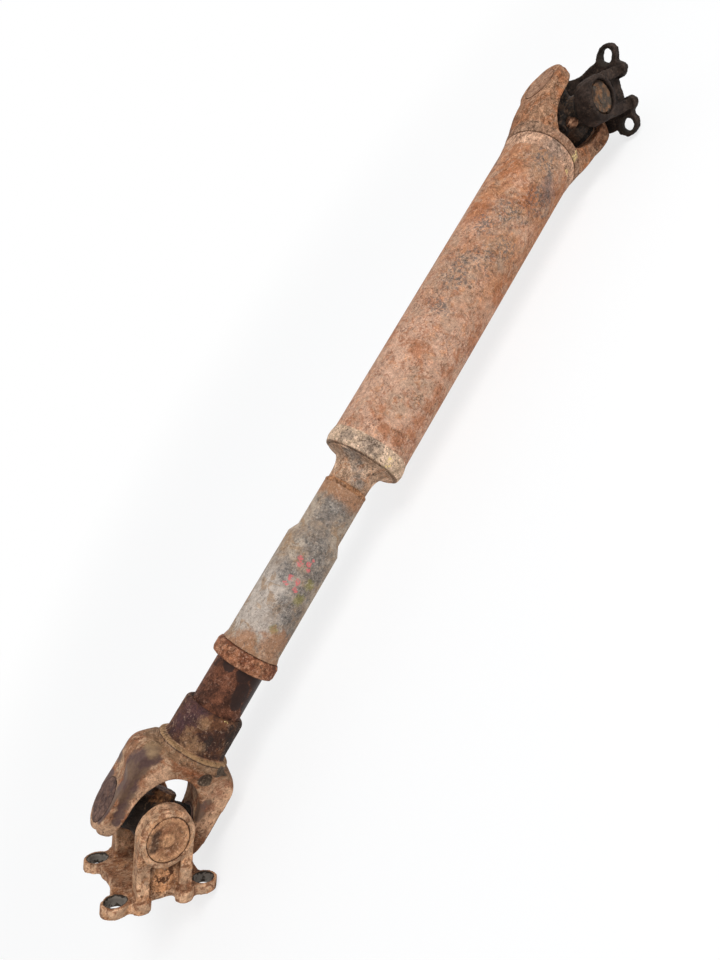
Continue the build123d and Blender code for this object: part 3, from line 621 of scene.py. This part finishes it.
def ground_steel():
    """Needles: bright ground steel with faint marks."""
    finish = Finish("ground_steel")
    marks = finish.noise(1.2, 3, 0.6)
    grey = (0.42, 0.42, 0.42)
    shade = finish.mix(finish.window(marks, 0.3, 0.7), toned(grey, 0.6), grey)
    return finish.close(shade, 0.35, marks, 0.03, metal=0.85, gloss=0.5)


def rubber_lip():
    """Lip rings: black rubber under brown dust."""
    finish = Finish("rubber_lip")
    dust = finish.window(finish.noise(3, 4, 0.65), 0.50, 0.66)
    colour = finish.lay((0.018, 0.017, 0.016), dust, 0.5, (0.12, 0.085, 0.06))
    return finish.close(colour, 0.7, finish.noise(1.5, 4), 0.12)


def felt():
    """Ring in the dust cap: oily felt."""
    finish = Finish("felt_ring")
    colour = finish.mix(finish.noise(0.6, 4, 0.8), (0.03, 0.025, 0.022), (0.13, 0.10, 0.08))
    return finish.close(colour, 0.95, finish.noise(0.5, 3, 0.8), 0.2)


def only(obj):
    """Selects one object and makes it active."""
    bpy.ops.object.select_all(action="DESELECT")
    obj.select_set(True)
    bpy.context.view_layer.objects.active = obj


def apply_all(obj):
    """Applies an object's modifiers in their order."""
    only(obj)
    for modifier in list(obj.modifiers):
        bpy.ops.object.modifier_apply(modifier=modifier.name)


def settle(obj):
    """Moves the object's place into its mesh and smooths its shading."""
    only(obj)
    bpy.ops.object.transform_apply(location=True, rotation=True, scale=True)
    bpy.ops.object.shade_smooth_by_angle(angle=math.radians(38))


def dress(obj, material, body):
    """Gives a piece its finish and the body that it rides on."""
    obj.data.materials.clear()
    obj.data.materials.append(material)
    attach(obj, body)


def rough_skin(obj, grain, height, seed_name):
    """Gives a surface the lumpy skin of a forging or of heavy rust."""
    cloud = bpy.data.textures.new(seed_name, "CLOUDS")
    cloud.noise_scale = grain * MM
    cloud.noise_depth = 3
    push = obj.modifiers.new("skin", "DISPLACE")
    push.texture = cloud
    push.texture_coords = "LOCAL"
    push.strength = height * MM
    push.mid_level = 0.5
    apply_all(obj)


def forged_copy(node_name, voxel, smoothing, skin, grain):
    """A node's form as a forging: edges rounded over, the skin a little uneven."""
    piece = nodes[node_name].copy()
    piece.data = nodes[node_name].data.copy()
    piece.parent = None
    for key in list(piece.keys()):
        del piece[key]
    piece.name = node_name + "_forging"
    bpy.context.scene.collection.objects.link(piece)
    only(piece)
    bpy.ops.object.mode_set(mode="EDIT")
    bpy.ops.mesh.select_all(action="SELECT")
    bpy.ops.mesh.remove_doubles(threshold=0.000004)
    bpy.ops.mesh.normals_make_consistent(inside=False)
    bpy.ops.mesh.customdata_custom_splitnormals_clear()
    bpy.ops.object.mode_set(mode="OBJECT")
    remesh = piece.modifiers.new("remesh", "REMESH")
    remesh.mode = "VOXEL"
    remesh.voxel_size = voxel * MM
    remesh.adaptivity = 0.0
    soften = piece.modifiers.new("soften", "SMOOTH")
    soften.factor = 0.5
    soften.iterations = smoothing
    apply_all(piece)
    rough_skin(piece, grain, skin, piece.name + "_skin")
    settle(piece)
    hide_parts(node_name)
    return piece


def turned(name, centre, axis, profile, sides=72):
    """A turned solid from (distance along its axis, radius) pairs in millimetres, closed at both ends."""
    bpy.ops.object.select_all(action="DESELECT")
    along, radius = profile[0]
    bpy.ops.mesh.primitive_circle_add(
        vertices=sides, radius=radius * MM, fill_type="NGON", location=(0, 0, 0),
    )
    piece = bpy.context.object
    piece.name = name
    bpy.ops.object.mode_set(mode="EDIT")
    bpy.ops.mesh.select_all(action="SELECT")
    bpy.ops.transform.translate(value=(0, 0, along * MM))
    for next_along, next_radius in profile[1:]:
        step = (0, 0, (next_along - along) * MM)
        bpy.ops.mesh.extrude_region_move(TRANSFORM_OT_translate={"value": step})
        ratio = next_radius / radius
        bpy.ops.transform.resize(value=(ratio, ratio, 1), center_override=(0, 0, next_along * MM))
        along, radius = next_along, next_radius
    bpy.ops.mesh.select_all(action="SELECT")
    bpy.ops.mesh.normals_make_consistent(inside=False)
    bpy.ops.object.mode_set(mode="OBJECT")
    piece.rotation_euler = Vector(axis).to_track_quat("Z", "Y").to_euler()
    piece.location = centre
    settle(piece)
    finer = piece.modifiers.new("finer", "SUBSURF")
    finer.levels = 1
    finer.render_levels = 1
    apply_all(piece)
    return piece


def swung_copy(piece, name, centre, swing):
    """Copy of a piece with its own mesh, swung half a turn to the opposite ear."""
    only(piece)
    bpy.ops.object.duplicate(linked=False)
    twin = bpy.context.object
    twin.name = name
    bpy.ops.transform.rotate(value=math.pi, orient_axis=swing, center_override=centre)
    bpy.ops.object.transform_apply(location=True, rotation=True, scale=True)
    return twin


def grease_nipple(node_name, root, body, caked=1.0):
    """Six-sided foot, waisted stem and ball head, as long as the plain solid that it stands for."""
    low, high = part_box(node_name)
    middle = (Vector(low) + Vector(high)) / 2
    axis = (middle - root).normalized()
    reaches = [(vertex.co - root).dot(axis) for vertex in nodes[node_name].data.vertices]
    start = min(reaches) / MM
    length = max(reaches) / MM - start

    def ring(share, radius, dirt=caked):
        return start + share * length, radius * dirt

    foot = turned(node_name + "_hex", root, axis, [
        ring(0, 3.4), ring(0.38, 3.4), ring(0.44, 3.0), ring(0.44, 0.5, 1),
    ], sides=6)
    stem = turned(node_name + "_stem", root, axis, [
        ring(0.4, 2.3), ring(0.6, 1.9), ring(0.7, 1.7), ring(0.76, 2.4), ring(0.86, 2.5),
        ring(0.95, 1.8), ring(0.98, 0.9, 1), ring(0.92, 0.5, 1),
    ], sides=24)
    only(stem)
    foot.select_set(True)
    bpy.ops.object.join()
    stem.name = node_name + "_fitting"
    if caked > 1:
        rough_skin(stem, 2.2, 1.6, node_name + "_dirt")
        settle(stem)
    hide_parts(node_name)
    dress(stem, nipple_finish, body)


# Finishes of the pieces that have their own
carried = {
    "main_tube": tube_rust(),
    "spline_sleeve": sleeve_steel(),
    "spline_neck": neck_dust(),
    "slip_shaft": journal_smear(),
    "dust_cap": cap_rust(),
    "dust_seal": felt(),
    "neck_weld": weld_rust("neck_weld_rust", (0.26, 0.13, 0.07), (0.44, 0.21, 0.10)),
    "tube_end_weld": weld_rust(
        "tube_end_weld_rust", (0.52, 0.36, 0.24), (0.70, 0.49, 0.34),
        around(34, (307, -5, 2.6)) + around(TUBE_WELD_RADIUS, (301.4, -5, 1.6), (303.5, -9, 1.4)),
    ),
    "yoke_weld": weld_rust(
        "yoke_weld_rust", (0.43, 0.24, 0.15), (0.60, 0.36, 0.235),
        around(TUBE_WELD_RADIUS, (600.4, -20, 2.4), (597, -17, 1.8)),
    ),
    "tube_yoke": hub_rust(),
    "slip_yoke": fork_scale(),
    "lower_flange_yoke": bolted_flange(
        "lower_flange_rust", LOWER_JOINT, LOWER_OUT, LOWER_EARS,
        base=(0.56, 0.335, 0.20), floor=(0.31, 0.135, 0.065), web=(0.58, 0.27, 0.12),
        dark=(0.20, 0.075, 0.035), crumbs=(0.78, 0.56, 0.38), shine=1.0,
    ),
    "upper_flange_yoke": bolted_flange(
        "upper_flange_grease", UPPER_JOINT, UPPER_OUT, UPPER_EARS,
        base=(0.040, 0.026, 0.020), floor=(0.030, 0.019, 0.014), web=(0.04, 0.025, 0.018),
        dark=(0.02, 0.013, 0.01), crumbs=(0.16, 0.10, 0.065), shine=0.0,
    ),
    "lower_cross": cross_rust(),
    "upper_cross": black_grease(),
}
lower_cup = cup_face(
    "lower_cup_face", (0.27, 0.12, 0.06), (0.45, 0.235, 0.12), (0.05, 0.028, 0.02), (0.66, 0.46, 0.31),
    # Painted shadow: the crescent beside the disc
    beside(LOWER_JOINT, (-2.5, -39.5, 7, 3.4), (1.5, -39, 8.5, 3.4), (5.5, -39, 9.5, 3.4)),
    (LOWER_JOINT, LOWER_EARS),
)
fork_cup = cup_face(
    "fork_cup_face", (0.085, 0.05, 0.042), (0.16, 0.09, 0.068), (0.03, 0.018, 0.015),
    (0.36, 0.22, 0.15),
)
upper_cup = cup_face(
    "upper_cup_face", (0.28, 0.145, 0.085), (0.40, 0.225, 0.14), RUST_DARK_AND_SHADE, (0.58, 0.40, 0.28),
)
dark_cup = cup_face(
    "dark_cup_face", (0.075, 0.058, 0.044), (0.20, 0.10, 0.05), (0.018, 0.013, 0.011),
    # The last argument is a painted shadow crescent beside the disc
    (0.20, 0.125, 0.075), beside(UPPER_JOINT, (12.5, -38, 12, 6), (-2, -38, 9, 4)),
)
nipple_finish = cup_face(
    "nipple_rust", (0.09, 0.04, 0.022), (0.34, 0.17, 0.095), SOOT_AND_SHADE, (0.95, 0.66, 0.45),
)

# Finishes of the other pieces, found by a part of their names
shared = {
    "needles": ground_steel(),
    "seals": rubber_lip(),
    "nipple": nipple_finish,
    "lower_flange": lower_cup,
    "lower_fork": fork_cup,
    "upper_fork": upper_cup,
    "upper_flange": dark_cup,
}
for name, obj in nodes.items():
    fitting = [finish for part, finish in shared.items() if part in name]
    obj.data.materials.clear()
    obj.data.materials.append(carried.get(name) or fitting[0])

# Rust packed in the flange ears over the bearing cups: a boss, a shallow ring and a raised rim
PACKED_DISC = [
    (38.0, 14.4), (39.6, 14.5), (40.2, 13.9), (40.6, 12.9), (40.6, 11.9), (40.0, 10.7), (39.1, 9.4),
    (38.9, 7.6), (39.0, 5.9), (39.7, 4.9), (40.5, 4.2), (40.7, 3.2), (40.55, 1.6), (40.3, 0.4),
]
# Rust that fills the snap rings' grooves round the cups of both forks
PACKED_RING = [
    (38.0, 14.4), (38.5, 14.5), (38.75, 13.8), (38.8, 12.9), (38.95, 12.0), (38.95, 6.5), (38.9, 0.4),
]
for name, pivot, profile, skin, swing, finish, body in (
    ("lower_flange_rust", "lower_flange_pivot", PACKED_DISC, 0.5, "Z", lower_cup, "lower_flange_yoke"),
    ("tube_fork_rust", "upper_fork_pivot", PACKED_RING, 0.4, "X", upper_cup, "tube"),
    ("slip_fork_rust", "lower_fork_pivot", PACKED_RING, 0.4, "X", fork_cup, "slip_yoke"),
):
    centre = hinge_at[pivot]
    disc = turned(name + "_one", centre, hinge_axis[pivot] * -1, profile)
    rough_skin(disc, 3.5, skin, name + "_skin")
    settle(disc)
    for piece in (disc, swung_copy(disc, name + "_two", centre, swing)):
        dress(piece, finish, body)

grease_nipple("lower_grease_nipple", LOWER_JOINT, "lower_cross")
grease_nipple("upper_grease_nipple", UPPER_JOINT, "upper_cross", 1.8)
low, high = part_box("sleeve_nipple")
grease_nipple("sleeve_nipple", Vector(((low[0] + high[0]) / 2, LOWER_JOINT.y, LOWER_JOINT.z)), "tube")

# Forgings: fineness of the form, rounds of smoothing, height and grain of the skin
for node_name, voxel, smoothing, skin, grain in (
    ("slip_yoke", 0.75, 6, 0.5, 7),
    ("tube_yoke", 0.8, 6, 0.5, 7),
    ("lower_flange_yoke", 0.7, 5, 0.5, 6),
    ("upper_flange_yoke", 0.7, 4, 1.7, 5),
    ("lower_cross", 0.6, 5, 1.0, 4.5),
    ("upper_cross", 0.6, 5, 1.4, 4.5),
):
    piece = forged_copy(node_name, voxel, smoothing, skin, grain)
    dress(piece, carried[node_name], body_of[node_name])


# The rays that see floor and room as white, while the light that reaches the shaft stays plain
SHOWN_WHITE = ("Is Camera Ray", "Is Transmission Ray", "Is Glossy Ray")


def seen_by(tree, *kinds):
    """1 for rays of these kinds, 0 for the others."""
    ray = tree.nodes.new("ShaderNodeLightPath")
    total = ray.outputs[kinds[0]]
    for kind in kinds[1:]:
        both = tree.nodes.new("ShaderNodeMath")
        both.operation = "ADD"
        tree.links.new(total, both.inputs[0])
        tree.links.new(ray.outputs[kind], both.inputs[1])
        total = both.outputs[0]
    return total


def blend_shaders(tree, share, first, second, output):
    """Closes a tree with a blend of two shaders."""
    blend = tree.nodes.new("ShaderNodeMixShader")
    tree.links.new(share, blend.inputs["Fac"])
    tree.links.new(first, blend.inputs[1])
    tree.links.new(second, blend.inputs[2])
    tree.links.new(blend.outputs["Shader"], tree.nodes[output].inputs["Surface"])


# White paper under the shaft, a little dimmer near it than far away, distances in metres
FLOOR_SIZE = 80
FLOOR_DROP = 0.0004
NEAR_REACH, NEAR_LIGHT = 0.35, 0.74
FAR_REACH, FAR_LIGHT = 1.3, 1.0

bpy.ops.object.select_all(action="DESELECT")
bpy.ops.mesh.primitive_plane_add(size=FLOOR_SIZE, location=(0, 0, -FLOOR_DROP))
floor = bpy.context.object
floor.name = "floor"
paper = bpy.data.materials.new("white_paper")
paper.use_nodes = True
tree = paper.node_tree
matte = tree.nodes["Principled BSDF"]
matte.inputs["Base Color"].default_value = (0.95, 0.95, 0.95, 1)
matte.inputs["Roughness"].default_value = 0.9
glow = tree.nodes.new("ShaderNodeEmission")
glow.inputs["Strength"].default_value = 1.0
where = tree.nodes.new("ShaderNodeTexCoord")
away = tree.nodes.new("ShaderNodeVectorMath")
away.operation = "LENGTH"
tree.links.new(where.outputs["Object"], away.inputs[0])
fade = tree.nodes.new("ShaderNodeMapRange")
fade.interpolation_type = "SMOOTHSTEP"
fade.inputs["From Min"].default_value = NEAR_REACH
fade.inputs["From Max"].default_value = FAR_REACH
fade.inputs["To Min"].default_value = NEAR_LIGHT
fade.inputs["To Max"].default_value = FAR_LIGHT
tree.links.new(away.outputs["Value"], fade.inputs["Value"])
share = tree.nodes.new("ShaderNodeMath")
share.operation = "MULTIPLY"
tree.links.new(seen_by(tree, *SHOWN_WHITE), share.inputs[0])
tree.links.new(fade.outputs["Result"], share.inputs[1])
blend_shaders(tree, share.outputs[0], matte.outputs["BSDF"], glow.outputs["Emission"], "Material Output")
floor.data.materials.append(paper)

world = bpy.data.worlds.new("studio")
bpy.context.scene.world = world
world.use_nodes = True
tree = world.node_tree
room = tree.nodes["Background"]
room.inputs["Color"].default_value = (0.93, 0.96, 1.0, 1)
room.inputs["Strength"].default_value = 0.43
white = tree.nodes.new("ShaderNodeBackground")
white.inputs["Color"].default_value = (1, 1, 1, 1)
white.inputs["Strength"].default_value = 1.0
background = seen_by(tree, *SHOWN_WHITE)
blend_shaders(tree, background, room.outputs["Background"], white.outputs["Background"], "World Output")


def soft_lamp(name, towards, distance, size, energy):
    """A square lamp out along a direction from the middle of the shaft, facing back at it; metres, watts."""
    lamp = bpy.data.lights.new(name, "AREA")
    lamp.shape = "SQUARE"
    lamp.size = size
    lamp.energy = energy
    holder = bpy.data.objects.new(name, lamp)
    bpy.context.scene.collection.objects.link(holder)
    towards = Vector(towards).normalized()
    middle = Vector((0, 0, 0.05))
    holder.location = middle + towards * distance
    holder.rotation_euler = (-towards).to_track_quat("-Z", "Y").to_euler()


soft_lamp("window_light", (0.28, -0.52, 0.84), 1.7, 0.8, 19)
soft_lamp("side_light", (-0.6, -0.7, 0.6), 1.9, 1.4, 4)
soft_lamp("back_light", (0.1, 0.9, 0.6), 1.9, 1.4, 4)

# The photo's camera: where it stands, and the directions it looks along and holds to its right and up
SENSOR_HEIGHT = 24.0
PHOTO_HEIGHT = 960
FOCAL_LENGTH = 640.316
eye = LOWER_JOINT + Vector((200.3, -447.6, 226.7)) * MM
look = Vector((0.17036, 0.87338, -0.45627))
right = Vector((0.50034, -0.47558, -0.72353))
up = Vector((0.84891, 0.10503, 0.51800))
lens = bpy.data.cameras.new("photo_camera")
lens.sensor_fit = "VERTICAL"
lens.sensor_height = SENSOR_HEIGHT
lens.lens = SENSOR_HEIGHT * FOCAL_LENGTH / PHOTO_HEIGHT
lens.clip_start = 0.01
lens.clip_end = 50
camera = bpy.data.objects.new("photo_camera", lens)
bpy.context.scene.collection.objects.link(camera)
camera.matrix_world = Matrix((
    (right.x, up.x, -look.x, eye.x),
    (right.y, up.y, -look.y, eye.y),
    (right.z, up.z, -look.z, eye.z),
    (0, 0, 0, 1),
))
bpy.context.scene.camera = camera
bpy.context.scene.view_settings.view_transform = "Standard"
